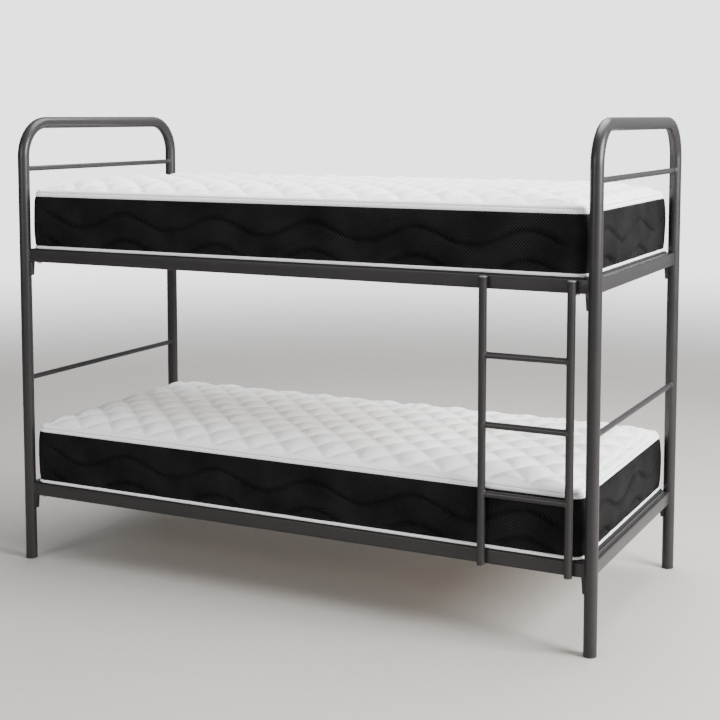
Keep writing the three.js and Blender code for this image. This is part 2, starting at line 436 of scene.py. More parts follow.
frameSteel = powderCoat("frameSteelCoat", steelLook)
ladderSteel = powderCoat("ladderSteelCoat", steelLook)
weldCoat = paintedWeld("weldCoat", weldLook)
zinc = zincPlate("zincPlate", zincLook)
slatWood = lacqueredPoplar("slatPoplar", slatLook)
footPlastic = mouldedPlastic("footPlastic")
capPlastic = mouldedPlastic("capPlastic")
paintedShadeStrip = mouldedPlastic("paintedShadeStrip")
knitCloth = quiltedKnit("quiltedKnit", knitLook)
meshCloth = spacerMesh("spacerMesh", meshLook)
tapeCloth = pipingTape("pipingTape", tapeLook)
baseCloth = feltBase("feltBase", feltLook)
edgeThread = spunThread("edgeThread", threadLook)
print("finishes mixed")

keptLook = {"weld": 0.00002, "bevelAngle": 40}
keptParts = {
    "rail": {"finish": frameSteel, "split": 35},
    "lug": {"finish": frameSteel, "bevel": 0.0005, "split": 35},
    "bar": {"finish": frameSteel, "split": 35},
    "stile": {"finish": ladderSteel, "split": 35},
    "rung": {"finish": ladderSteel, "split": 35},
    "hook": {"finish": ladderSteel, "bevel": 0.0006, "split": 35},
    "slat": {"finish": slatWood, "split": 50},
}


def keepPart(node, look):
    pickUp(node)
    if node.data.has_custom_normals:
        bpy.ops.mesh.customdata_custom_splitnormals_clear()
    node.data.polygons.foreach_set("use_smooth", [True] * len(node.data.polygons))
    for slot in node.material_slots:
        slot.material = look["finish"]
    weld = node.modifiers.new("weld", "WELD")
    weld.merge_threshold = keptLook["weld"]
    if "bevel" in look:
        bevel = node.modifiers.new("edge", "BEVEL")
        bevel.width = look["bevel"]
        bevel.segments = 2
        bevel.limit_method = "ANGLE"
        bevel.angle_limit = math.radians(keptLook["bevelAngle"])
    crease = node.modifiers.new("crease", "EDGE_SPLIT")
    crease.split_angle = math.radians(look["split"])


for name, node in nodes.items():
    for kind, look in keptParts.items():
        if kind in name.split("_"):
            keepPart(node, look)
print("rails, bars, slats and ladder finished")

hoopTube = {"radius": 0.020, "wall": 0.0015, "bend": 0.120, "sides": 40, "bendSteps": 18, "runSteps": 3}


def bendHoop(name, node, tube):
    low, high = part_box(node)
    x = (low.x + high.x) / 2
    front, back = low.y + tube["radius"], high.y - tube["radius"]
    bendZ = high.z - tube["radius"] - tube["bend"]
    hoop = startDisc(name, tube["sides"], tube["radius"], (x, front, low.z), "NOTHING")

    def run(step):
        for _ in range(tube["runSteps"]):
            part = [distance / tube["runSteps"] for distance in step]
            bpy.ops.mesh.extrude_region_move(TRANSFORM_OT_translate={"value": part})

    def bend(y):
        bpy.ops.mesh.spin(steps=tube["bendSteps"], angle=math.radians(90),
                          center=(x, y, bendZ), axis=(1, 0, 0))

    run((0, 0, bendZ - low.z))
    bend(front + tube["bend"])
    run((0, back - front - 2 * tube["bend"], 0))
    bend(back - tube["bend"])
    run((0, 0, low.z - bendZ))
    faceOutwards(hoop)
    pressModifier(hoop, "SOLIDIFY", thickness=tube["wall"], offset=-1.0, use_even_offset=True)
    smoothOver(hoop, 40)
    return fitPiece(hoop, "frame", "frame_steel", frameSteel, node)


leftHoop = bendHoop("leftHoopTube", "left_hoop", hoopTube)
anotherOne(leftHoop, "rightHoopTube", shiftBetween("left_hoop", "right_hoop"),
           "frame", "frame_steel", frameSteel, "right_hoop")
print("hoops bent")

footShape = {
    "radius": 0.0200, "lip": 0.0205, "sole": 0.0186, "chamfer": 0.0012, "height": 0.0040, "sides": 40,
    "plug": 0.0181, "plugHeight": 0.020, "taper": 0.002, "taperTo": 0.9, "wall": 0.003, "hollow": 0.008,
    "rounding": 0.0004,
}


def mouldFoot(name, node, shape):
    low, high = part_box(node)
    centre = (low + high) / 2
    foot = startDisc(name, shape["sides"], shape["sole"], (centre.x, centre.y, low.z))
    growRing(shape["chamfer"], shape["lip"] / shape["sole"])
    growRing(shape["height"] - shape["chamfer"] - shape["rounding"])
    growRing(shape["rounding"], shape["radius"] / shape["lip"])
    growRing(0.0, shape["plug"] / shape["radius"])
    growRing(shape["plugHeight"] - shape["taper"])
    growRing(shape["taper"], shape["taperTo"])
    bpy.ops.mesh.inset(thickness=shape["wall"])
    bpy.ops.transform.translate(value=(0, 0, -shape["hollow"]))
    faceOutwards(foot)
    roundEdges(foot, shape["rounding"], 30)
    smoothOver(foot, 40)
    return fitPiece(foot, "frame", "foot_plastic", footPlastic, node)


firstFoot = mouldFoot("frontLeftFoot", "foot_front_left", footShape)
for side, end in (("front", "right"), ("back", "left"), ("back", "right")):
    node = f"foot_{side}_{end}"
    anotherOne(firstFoot, f"{side}{end.title()}Foot", shiftBetween("foot_front_left", node),
               "frame", "foot_plastic", footPlastic, node)

capShape = {
    "brim": 0.0128, "brimPart": 0.35, "domeSteps": 6, "flattest": 0.08, "seat": 0.0003,
    "plug": 0.0111, "plugDepth": 0.012, "sides": 32,
}


def mouldCap(name, node, shape, way):  # way 1 is a top cap, -1 a bottom one
    low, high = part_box(node)
    centre = (low + high) / 2
    stileLow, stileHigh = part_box(node.replace("_top_cap", "_stile").replace("_bottom_cap", "_stile"))
    rim = stileHigh.z if way > 0 else stileLow.z
    rise = (high.z if way > 0 else low.z) - rim
    cap = startDisc(name, shape["sides"], shape["plug"], (centre.x, centre.y, rim - way * shape["plugDepth"]))
    growRing(way * (shape["plugDepth"] + shape["seat"]))
    growRing(0.0, shape["brim"] / shape["plug"])
    growRing(rise * shape["brimPart"])
    domeRise = rise * (1 - shape["brimPart"]) - way * shape["seat"]
    width = 1.0
    turned = 0.0
    for step in range(shape["domeSteps"]):
        turn = math.radians(90) * (step + 1) / shape["domeSteps"]
        nextWidth = max(math.cos(turn), shape["flattest"])
        growRing(domeRise * (math.sin(turn) - math.sin(turned)), nextWidth / width)
        width, turned = nextWidth, turn
    faceOutwards(cap)
    smoothOver(cap, 40)
    return fitPiece(cap, "ladder", "cap_plastic", capPlastic, node)


for place, way in (("top", 1), ("bottom", -1)):
    leftNode, rightNode = f"ladder_left_{place}_cap", f"ladder_right_{place}_cap"
    leftCap = mouldCap(f"ladderLeft{place.title()}Cap", leftNode, capShape, way)
    anotherOne(leftCap, f"ladderRight{place.title()}Cap", shiftBetween(leftNode, rightNode),
               "ladder", "cap_plastic", capPlastic, rightNode)
print("feet and caps moulded")

ringWeld = {"bead": 0.0020, "out": 0.0005, "turns": 40, "sides": 8, "ripple": 0.04, "ripples": 17, "spread": 1.15}


def weldRing(name, body, slot, centre, along, barRadius, tubeRadius):
    # A bead round a bar where it meets the upright tube on its front or left.
    putDown()
    turn = (math.pi / 2, 0, 0) if along == "y" else (0, math.pi / 2, 0)
    bpy.ops.mesh.primitive_torus_add(major_segments=ringWeld["turns"], minor_segments=ringWeld["sides"],
                                     major_radius=barRadius + ringWeld["out"],
                                     minor_radius=ringWeld["bead"], location=centre, rotation=turn)
    bead = freshPiece(name)
    settle(bead)
    axis, across = (1, 0) if along == "y" else (0, 1)
    for vertex in bead.data.vertices:
        off = vertex.co - centre
        swell = 1 + ringWeld["ripple"] * math.sin(ringWeld["ripples"] * math.atan2(off.z, off[across]))
        off[across] *= swell
        off.z *= swell
        side = min(abs(off[across]), tubeRadius)
        off[axis] = off[axis] * ringWeld["spread"] - tubeRadius + math.sqrt(tubeRadius ** 2 - side ** 2)
        vertex.co = centre + off
    smoothOver(bead, 60)
    return fitPiece(bead, body, slot, weldCoat)


def weldAll(body, slot, along, barRadius, tubeRadius, spots):  # spots hold (name, centre, turned)
    firstName, start, _ = spots[0]
    bead = weldRing(firstName, body, slot, start, along, barRadius, tubeRadius)
    for name, centre, turned in spots[1:]:
        move = Matrix.Rotation(math.pi if turned else 0, 4, "Z") @ Matrix.Translation(-start)
        anotherOne(bead, name, Matrix.Translation(centre) @ move, body, slot, weldCoat)


postRadius = hoopTube["radius"]
barSpots = []
for end in ends:
    hoopLow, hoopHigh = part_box(end + "_hoop")
    for bar in ("guard", "mid"):
        barLow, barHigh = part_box(f"{end}_{bar}_bar")
        middle = (barLow + barHigh) / 2
        frontFace, backFace = hoopLow.y + 2 * postRadius, hoopHigh.y - 2 * postRadius
        barSpots.append((f"{end}{bar.title()}BarWeldFront", Vector((middle.x, frontFace, middle.z)), False))
        barSpots.append((f"{end}{bar.title()}BarWeldBack", Vector((middle.x, backFace, middle.z)), True))
weldAll("frame", "frame_steel", "y", (barHigh.x - barLow.x) / 2, postRadius, barSpots)

leftStile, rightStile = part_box("ladder_left_stile"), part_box("ladder_right_stile")
rungSpots = []
for number in (1, 2, 3):
    rungLow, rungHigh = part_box(f"ladder_rung_{number}")
    middle = (rungLow + rungHigh) / 2
    rungSpots.append((f"rung{number}WeldLeft", Vector((leftStile[1].x, middle.y, middle.z)), False))
    rungSpots.append((f"rung{number}WeldRight", Vector((rightStile[0].x, middle.y, middle.z)), True))
stileRadius = (leftStile[1].x - leftStile[0].x) / 2
weldAll("ladder", "ladder_steel", "x", (rungHigh.z - rungLow.z) / 2, stileRadius, rungSpots)
print("welds run")

lineWeld = {
    "radius": 0.0017, "pitch": 0.0026, "sides": 10, "length": 0.040, "railSink": 0.005,
    "endSize": 0.5, "waist": 0.86, "sinkX": 0.0006, "sinkY": 0.0004, "up": 0.001,
}


def weldLine(name, low):  # an upright run of weld
    steps = round(lineWeld["length"] / lineWeld["pitch"]) * 2
    run = startDisc(name, lineWeld["sides"], lineWeld["radius"] * lineWeld["endSize"], low)
    step = lineWeld["length"] / steps
    size = lineWeld["endSize"]
    for count in range(1, steps + 1):
        nextSize = 1.0 if count % 2 else lineWeld["waist"]
        if count == steps:
            nextSize = lineWeld["endSize"]
        growRing(step, nextSize / size)
        size = nextSize
    faceOutwards(run)
    smoothOver(run, 70)
    return fitPiece(run, "frame", "frame_steel", weldCoat)


lineSpots = []
for level in levels:
    for end, endWay in ends.items():
        endRail = f"{level}_{end}_end_rail"
        outerX = faceOf(endRail, "x", endWay) - endWay * lineWeld["sinkX"]
        besideX = postMiddle(end) - endWay * math.sqrt(postRadius ** 2 - lineWeld["railSink"] ** 2)
        for side, sideWay in sides.items():
            sideRail = f"{level}_{side}_rail"
            edgeY = faceOf(endRail, "y", sideWay) + sideWay * lineWeld["sinkY"]
            faceY = faceOf(sideRail, "y", sideWay) - sideWay * lineWeld["sinkY"]
            lineSpots.append((f"{level}{end.title()}RailWeld{side.title()}",
                              Vector((outerX, edgeY, faceOf(endRail, "z", -1) + lineWeld["up"]))))
            lineSpots.append((f"{level}{side.title()}RailWeld{end.title()}",
                              Vector((besideX, faceY, faceOf(sideRail, "z", -1) + lineWeld["up"]))))
oneEach(weldLine, lineSpots, "frame", "frame_steel", weldCoat)

boltShape = {
    "head": 0.0075, "height": 0.0042, "washer": 0.0105, "washerThickness": 0.0014, "socket": 0.0038,
    "crown": ((0.6, 1.0), (0.28, 0.9), (0.12, 0.82)), "socketDepth": 0.6,  # parts of the height, and narrowings
    "rounding": 0.0003, "fromPost": 0.056, "fromFace": 0.0125, "sides": 30,
}


def turnBolt(name, spot):  # hangs under a rail, its head down
    bolt = startDisc(name, boltShape["sides"], boltShape["washer"], spot)
    growRing(-boltShape["washerThickness"])
    growRing(0.0, boltShape["head"] / boltShape["washer"])
    width = boltShape["head"]
    for part, narrowing in boltShape["crown"]:
        growRing(-boltShape["height"] * part, narrowing)
        width *= narrowing
    growRing(0.0, boltShape["socket"] / width)
    growRing(boltShape["height"] * boltShape["socketDepth"])
    faceOutwards(bolt)
    roundEdges(bolt, boltShape["rounding"], 35)
    smoothOver(bolt, 40)
    return fitPiece(bolt, "frame", "frame_steel", zinc)


boltSpots = []
for level in levels:
    for side, sideWay in sides.items():
        rail = f"{level}_{side}_rail"
        y = faceOf(rail, "y", sideWay) - sideWay * boltShape["fromFace"]
        for end, endWay in ends.items():
            spot = Vector((postMiddle(end) - endWay * boltShape["fromPost"], y, faceOf(rail, "z", -1)))
            boltSpots.append((f"{level}{side.title()}Bolt{end.title()}", spot))
oneEach(turnBolt, boltSpots, "frame", "frame_steel", zinc)

rivetShape = {
    "radius": 0.0018, "height": 0.0010, "dome": ((0.5, 1.0), (0.3, 0.8), (0.2, 0.55)), "sides": 16,
    "spacing": 0.010, "beside": 0.020, "up": 0.011,
}


def setRivet(name, spot):
    rivet = startDisc(name, rivetShape["sides"], rivetShape["radius"], spot, turn=(math.pi / 2, 0, 0))
    for out, narrowing in rivetShape["dome"]:
        bpy.ops.mesh.extrude_region_move(
            TRANSFORM_OT_translate={"value": (0, -rivetShape["height"] * out, 0)})
        bpy.ops.transform.resize(value=(narrowing, narrowing, narrowing))
    faceOutwards(rivet)
    smoothOver(rivet, 50)
    return fitPiece(rivet, "frame", "frame_steel", weldCoat)


rivetX = (rightStile[0].x + rightStile[1].x) / 2 + rivetShape["beside"]
rivetSpots = []
for level in levels:
    low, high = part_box(level + "_front_rail")
    for row in range(3):
        z = low.z + rivetShape["up"] + row * rivetShape["spacing"]
        rivetSpots.append((f"{level}RailRivet{row + 1}", Vector((rivetX, low.y, z))))
oneEach(setRivet, rivetSpots, "frame", "frame_steel", weldCoat)
print("bolts and rivets set")

stripShape = {
    "width": 0.021, "rounding": 0.0008, "channel": 0.005, "channelDepth": 0.0007,
    "sideHeight": 0.0037, "fromFace": 0.0135, "sideReach": 0.004,
    "endHeight": 0.0080, "fromRail": 0.038, "endGap": 0.022,
}


def layStrip(name, spot, size):  # near-black strips on the rails, under the mattress's edges: painted shade that closes the gap between the piping and the rails
    putDown()
    bpy.ops.mesh.primitive_plane_add(size=1, location=spot)
    strip = freshPiece(name)
    strip.scale = (size.x, size.y, 1)
    settle(strip)
    startShaping()
    growRing(size.z)
    bpy.ops.mesh.inset(thickness=stripShape["channel"])
    bpy.ops.transform.translate(value=(0, 0, -stripShape["channelDepth"]))
    faceOutwards(strip)
    roundEdges(strip, stripShape["rounding"], 40)
    smoothOver(strip, 40)
    return fitPiece(strip, "frame", "foot_plastic", paintedShadeStrip)


padLow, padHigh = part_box("upper_mattress")
sideSpots, endSpots = [], []
for level in levels:
    railTop = faceOf(f"{level}_front_rail", "z", 1)
    for side, sideWay in sides.items():
        y = faceOf(f"{level}_{side}_rail", "y", sideWay) - sideWay * stripShape["fromFace"]
        sideSpots.append((f"{level}{side.title()}Strip", Vector((0, y, railTop))))
    for end, endWay in ends.items():
        x = faceOf(f"{level}_{end}_end_rail", "x", endWay) - endWay * stripShape["fromRail"]
        z = railTop + stripShape["sideHeight"] - stripShape["endHeight"]
        endSpots.append((f"{level}{end.title()}EndStrip", Vector((x, (padLow.y + padHigh.y) / 2, z))))
sideLength = padHigh.x - padLow.x + 2 * stripShape["sideReach"]
endLength = padHigh.y - padLow.y - 2 * stripShape["endGap"]
sideSize = Vector((sideLength, stripShape["width"], stripShape["sideHeight"]))
endSize = Vector((stripShape["width"], endLength, stripShape["endHeight"]))
oneEach(layStrip, sideSpots, "frame", "foot_plastic", paintedShadeStrip, size=sideSize)
oneEach(layStrip, endSpots, "frame", "foot_plastic", paintedShadeStrip, size=endSize)
print("strips laid")

mattressLook = {
    "corner": 0.036, "seam": 0.182, "roll": 0.015,  # the upright corners, the border's height, the top's edge
    "crown": 0.030, "proud": 0.010, "crownReach": 0.21, "crownShape": 2.3, "ridgeSlope": 1.2, "ridgeWidth": 0.12,
    "puff": 0.0165, "settled": 0.72, "quiltX": 0.137, "quiltY": 0.142, "fade": (0.005, 0.040),
    "cellSizes": (0.82, 1.08), "fullness": 1.15, "softness": 0.0004, "wander": 0.03, "wanderScale": 5.0,
    "gather": 0.0016, "gatherReach": 4.5, "gatherScales": (95.0, 70.0), "gatherStretch": 0.35,
    "slack": 0.0007, "slackScale": 14.0,
    "stitchTurn": 54, "stitchDip": 0.0028,  # where the edge stitching lies on the roll, in degrees, and how deep
    "bulge": 0.0032, "endBulge": 0.0048, "bulgeFrom": 0.008, "bulgeShape": 0.5,
    "waves": 16, "waveRise": 0.0255, "waveHeight": 0.106, "waveDrop": 0.088, "crestAt": -0.612,
    "waveWander": 0.004, "waveWanderScale": 2.2,
    "groove": 0.0105, "grooveWidth": 0.0105, "grooveShare": 0.55, "threadWidth": 0.0042,
    "fadeLow": (0.008, 0.022), "fadeHigh": 0.02, "cornerFade": (0.004, 0.060), "footFade": (0.002, 0.012),
    "dents": 0.0008, "dentScale": 16.0,
    "stepsX": 300, "stepsY": 128, "cornerSteps": 10, "rollStep": 9, "wallSteps": 56,
    # each ring below is (inset, height), and heights at the seam are from the seam
    "topInsets": (0.036, 0.030, 0.025, 0.020), "aboveSeam": ((0.0002, 0.0022), (0.0018, 0.0006), (0.0026, 0.0)),
    "belowSeam": ((0.0018, -0.0008), (0.0002, -0.0030)), "wallTop": -0.0065, "wallBottom": 0.0125,
    "behindPiping": ((0.0015, 0.0105), (0.0042, 0.0085), (0.0050, 0.0050), (0.0042, 0.0018)),
    "underside": ((0.0060, 0.0004), (0.0120, 0.0001), (0.0300, 0.0)),
}


def edgeOutline(halfX, halfY, look):
    # Stations round the core rectangle, anticlockwise from its front left corner, each with its way out.
    corner, nx, ny = look["corner"], look["stepsX"], look["stepsY"]
    coreX, coreY = halfX - corner, halfY - corner
    xs = np.linspace(-coreX, coreX, nx + 1)
    ys = np.linspace(-coreY, coreY, ny + 1)
    runs = [
        (np.stack([xs, np.full(nx + 1, -coreY)], 1), -90, [(i, 0) for i in range(nx + 1)]),
        (np.stack([np.full(ny + 1, coreX), ys], 1), 0, [(nx, j) for j in range(ny + 1)]),
        (np.stack([xs[::-1], np.full(nx + 1, coreY)], 1), 90, [(nx - i, ny) for i in range(nx + 1)]),
        (np.stack([np.full(ny + 1, -coreX), ys[::-1]], 1), 180, [(0, ny - j) for j in range(ny + 1)]),
    ]
    base, angle, gridSpot, fromCorner = [], [], [], []
    for points, facing, spots in runs:
        base.extend(points)
        angle.extend([facing] * len(points))
        gridSpot.extend(spots)
        fromCorner.extend(np.minimum(np.linalg.norm(points - points[0], axis=1),
                                     np.linalg.norm(points - points[-1], axis=1)))
        for step in range(1, look["cornerSteps"]):  # the corner that follows this run
            base.append(points[-1])
            angle.append(facing + 90 * step / look["cornerSteps"])
            gridSpot.append(spots[-1])
            fromCorner.append(0.0)
    base, angle = np.array(base), np.radians(np.array(angle))
    way = np.stack([np.cos(angle), np.sin(angle)], 1)
    edge = base + corner * way
    gaps = np.linalg.norm(np.roll(edge, -1, 0) - edge, axis=1)
    along = np.concatenate([[0], np.cumsum(gaps)])
    return {"xs": xs, "ys": ys, "base": base, "way": way, "gridSpot": gridSpot, "along": along,
            "fromCorner": np.array(fromCorner)}


def valueNoise(x, y, scale, seed):  # smooth seeded noise from -1 to 1
    size = 256
    farOff = 1000.0  # keeps the places positive
    table = np.random.default_rng(seed).uniform(-1, 1, (size, size))
    u, v = x * scale + farOff, y * scale + farOff
    i, j = np.floor(u).astype(int), np.floor(v).astype(int)
    fu, fv = u - i, v - j
    fu, fv = fu * fu * (3 - 2 * fu), fv * fv * (3 - 2 * fv)
    low = table[i % size, j % size] * (1 - fu) + table[(i + 1) % size, j % size] * fu
    high = table[i % size, (j + 1) % size] * (1 - fu) + table[(i + 1) % size, (j + 1) % size] * fu
    return low * (1 - fv) + high * fv


def ease(low, high, value):
    t = np.clip((value - low) / (high - low), 0, 1)
    return t * t * (3 - 2 * t)


def crownHeight(fromEnd, fromSide, look):  # how far the filling lifts the top, away from its edges
    inset = np.minimum(fromEnd, fromSide)
    blend = np.clip((inset - look["corner"]) * look["ridgeSlope"], 0.000001, look["ridgeWidth"])
    inset = inset - np.maximum(blend - np.abs(fromEnd - fromSide), 0) ** 2 / (4 * blend)
    short = 1 - np.clip(inset / look["crownReach"], 0, 1)
    return (look["crown"] + look["proud"]) * (1 - short ** look["crownShape"])


def quiltHeight(x, y, inset, look, seed):  # a puffed diamond in every cell of the quilting
    p = x / look["quiltX"] + y / look["quiltY"]
    q = x / look["quiltX"] - y / look["quiltY"]
    p = p + look["wander"] * valueNoise(x, y, look["wanderScale"], seed + 1)
    q = q + look["wander"] * valueNoise(x, y, look["wanderScale"], seed + 2)
    cells = 128
    cell = np.random.default_rng(seed).uniform(*look["cellSizes"], (cells, cells))
    height = cell[np.floor(p).astype(int) % cells, np.floor(q).astype(int) % cells]
    nearP, nearQ = np.abs(np.sin(np.pi * p)), np.abs(np.sin(np.pi * q))
    puff = np.sqrt(nearP * nearQ + look["softness"]) ** look["fullness"] * height
    pull = np.exp(-look["gatherReach"] * np.minimum(nearP, nearQ))  # small gathers along the stitching
    firstScale, secondScale = look["gatherScales"]
    gathers = (valueNoise(x + y, (x - y) * look["gatherStretch"], firstScale, seed + 3)
               * valueNoise(x - y, (x + y) * look["gatherStretch"], secondScale, seed + 4))
    slack = valueNoise(x, y, look["slackScale"], seed + 5) * look["slack"]
    quilt = look["puff"] * (puff - look["settled"]) + look["gather"] * pull * gathers + slack
    return quilt * ease(*look["fade"], inset)


def borderPush(outline, height, look, seed):
    # How far the border stands out at a height: a soft bulge, less where a line of stitching pulls it in.
    along, length = outline["along"][:-1], outline["along"][-1]
    low, seam = look["bulgeFrom"], look["seam"]
    swell = np.sin(np.pi * np.clip((height - low) / (seam - low), 0, 1)) ** look["bulgeShape"]
    bulge = (look["bulge"] + look["endBulge"] * outline["way"][:, 0] ** 2) * swell
    turn = math.tau * look["waves"] * (along - look["firstCrest"]) / length
    wander = look["waveWander"] * valueNoise(along, along * 0, look["waveWanderScale"], seed + 7)
    pulled = 0
    for drop in (0.0, look["waveDrop"]):
        line = look["waveHeight"] - drop + wander + look["waveRise"] * np.cos(turn)
        slope = look["waveRise"] * math.tau * look["waves"] / length * np.sin(turn)
        off = (height - line) / np.sqrt(1 + slope ** 2)
        pulled = pulled + np.exp(-(off / look["grooveWidth"]) ** 2) * look["grooveShare"]
        pulled = pulled + np.exp(-(off / look["threadWidth"]) ** 2) * (1 - look["grooveShare"])
    inside = ease(*look["fadeLow"], height) * ease(0.0, look["fadeHigh"], seam - height)
    pulled = pulled * ease(*look["cornerFade"], outline["fromCorner"])
    dents = look["dents"] * valueNoise(along, np.full(len(along), height), look["dentScale"], seed + 8)
    push = bulge - look["groove"] * pulled * inside + dents * inside
    return push * ease(*look["footFade"], height)


def padRings(thick, look):  # rings from the core rectangle out over the edge and down: top, border, base
    roll, seam = look["roll"], look["seam"]
    top = [(inset, thick) for inset in look["topInsets"]]
    for degrees in range(0, 91, look["rollStep"]):
        turn = math.radians(degrees)
        reach = roll - (look["stitchDip"] if degrees == look["stitchTurn"] else 0.0)
        top.append((roll - reach * math.sin(turn), thick - roll + reach * math.cos(turn)))
    top += [(inset, seam + up) for inset, up in look["aboveSeam"]]
    border = [(inset, seam + up) for inset, up in look["belowSeam"]]
    border += [(0.0, height) for height in np.linspace(seam + look["wallTop"], look["wallBottom"],
                                                       look["wallSteps"])]
    border += look["behindPiping"]
    kinds = [0] * len(top) + [1] * len(border) + [2] * len(look["underside"])
    return top + border + list(look["underside"]), kinds


def padPoints(outline, halfX, halfY, thick, rings, kinds, look, seed):  # points, and their places from above
    gx, gy = np.meshgrid(outline["xs"], outline["ys"], indexing="ij")
    fromEnd, fromSide = halfX - np.abs(gx), halfY - np.abs(gy)
    quilt = quiltHeight(gx, gy, np.minimum(fromEnd, fromSide), look, seed)
    gz = thick + quilt + crownHeight(fromEnd, fromSide, look)
    points = [np.stack([gx, gy, gz], 2).reshape(-1, 3)]
    flat = [np.stack([gx, gy], 2).reshape(-1, 2)]
    count = len(outline["base"])
    for (inset, height), kind in zip(rings, kinds):
        push = borderPush(outline, height, look, seed) if kind else np.zeros(count)
        ring = outline["base"] + (look["corner"] - inset + push)[:, None] * outline["way"]
        z = np.full(count, height)
        if kind == 0:
            lift = quiltHeight(ring[:, 0], ring[:, 1], np.full(count, inset), look, seed)
            z = z + (lift + crownHeight(inset, inset, look)) * ease(look["seam"], thick, height)
        points.append(np.column_stack([ring, z]))
        flat.append(ring)
    return np.concatenate(points), np.concatenate(flat)


def padFaces(outline, flat, rings, kinds):  # faces, their places on the cloth, and which cloth each has
    along, count = outline["along"], len(outline["base"])
    columns, rows = len(outline["xs"]), len(outline["ys"])
    grid = np.arange(columns * rows).reshape(columns, rows)
    corners = np.stack([grid[:-1, :-1].ravel(), grid[1:, :-1].ravel(), grid[1:, 1:].ravel(),
                        grid[:-1, 1:].ravel()], 1)
    faceMaps = list(flat[corners].reshape(-1, 4, 2))
    faces, cloth = corners.tolist(), [0] * len(corners)
    inner = np.array([grid[i, j] for i, j in outline["gridSpot"]])
    for ringNumber, ((_, height), kind) in enumerate(zip(rings, kinds)):
        outer = columns * rows + ringNumber * count + np.arange(count)
        for k in range(count):
            n = (k + 1) % count
            quad = [int(inner[k]), int(outer[k]), int(outer[n]), int(inner[n])]
            if kind == 1:
                above = rings[ringNumber - 1][1]
                spots = [(along[k], above), (along[k], height), (along[k + 1], height), (along[k + 1], above)]
            else:
                spots = [flat[v] for v in quad]
            if quad[0] == quad[3]:
                quad, spots = quad[:3], spots[:3]
            faces.append(quad)
            faceMaps.append(spots)
            cloth.append(kind)
        inner = outer
    faces.append([int(v) for v in inner[::-1]])
    faceMaps.append([flat[v] for v in inner[::-1]])
    cloth.append(2)
    return faces, faceMaps, cloth


def clothPiece(name, points, faces, faceMaps=None):
    mesh = bpy.data.meshes.new(name)
    mesh.from_pydata(points, [], faces)
    if faceMaps is not None:
        layer = mesh.uv_layers.new(name="clothMap")
        layer.data.foreach_set("uv", np.array(faceMaps, dtype=np.float32).ravel())
    piece = bpy.data.objects.new(name, mesh)
    bpy.context.scene.collection.objects.link(piece)
    return piece


def sewMattress(name, node, look, seed):
    low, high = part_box(node)
    centre = (low + high) / 2
    halfX, halfY, thick = (high.x - low.x) / 2, (high.y - low.y) / 2, high.z - low.z - look["crown"]
    outline = edgeOutline(halfX, halfY, look)
    look = dict(look, firstCrest=halfX - look["corner"] + look["crestAt"])
    rings, kinds = padRings(thick, look)
    points, flat = padPoints(outline, halfX, halfY, thick, rings, kinds, look, seed)
    faces, faceMaps, cloth = padFaces(outline, flat, rings, kinds)
    points = points + np.array([centre.x, centre.y, low.z])
    faceMaps = [place for spots in faceMaps for spot in spots for place in spot]
    piece = clothPiece(name, points.tolist(), faces, faceMaps)
    fitPiece(piece, node, "mattress_cloth", knitCloth, node)
    shell = piece.data
    shell.materials.append(meshCloth)
    shell.materials.append(baseCloth)
    shell.polygons.foreach_set("material_index", cloth)
    shell.polygons.foreach_set("use_smooth", [True] * len(shell.polygons))
    shell.update()
    return piece, outline, (centre.x, centre.y, low.z, thick)


pipingLook = {"radius": 0.0052, "inset": 0.0010, "height": 0.0058, "sides": 12, "wobble": 0.0003,
              "wobbleScale": 30.0, "wobbleSeed": 5, "mapStep": 0.002704}


def sewPiping(name, body, outline, spot, look, corner):
    x, y, z, _ = spot
    base, way, along, sides = outline["base"], outline["way"], outline["along"], look["sides"]
    count = len(base)
    wobble = look["wobble"] * valueNoise(along[:-1], along[:-1] * 0, look["wobbleScale"], look["wobbleSeed"])
    points, faces, maps = [], [], []
    for k in range(count):
        for turn in np.arange(sides) * math.tau / sides:
            out = corner - look["inset"] + (look["radius"] + wobble[k]) * math.cos(turn)
            px, py = base[k] + out * way[k]
            points.append((x + px, y + py, z + look["height"] + look["radius"] * math.sin(turn)))
    for k in range(count):
        n = (k + 1) % count
        for t in range(sides):
            u = (t + 1) % sides
            faces.append((k * sides + t, n * sides + t, n * sides + u, k * sides + u))
            v0, v1 = t * look["mapStep"], (t + 1) * look["mapStep"]
            maps += [(along[k], v0), (along[k + 1], v0), (along[k + 1], v1), (along[k], v1)]
    piece = clothPiece(name, points, faces, maps)
    piece.data.polygons.foreach_set("use_smooth", [True] * len(faces))
    return fitPiece(piece, body, "mattress_cloth", tapeCloth)


stitchLook = {
    "length": 0.0056, "pitch": 0.0068, "radius": 0.0010, "sides": 5, "proud": 0.0001, "lift": 0.6,
    "stations": ((0.0, 0.25), (0.2, 0.9), (0.5, 1.15), (0.8, 0.9), (1.0, 0.25)),  # part of the length, thickness
    "endSink": 0.0004, "ahead": 0.0005,
}


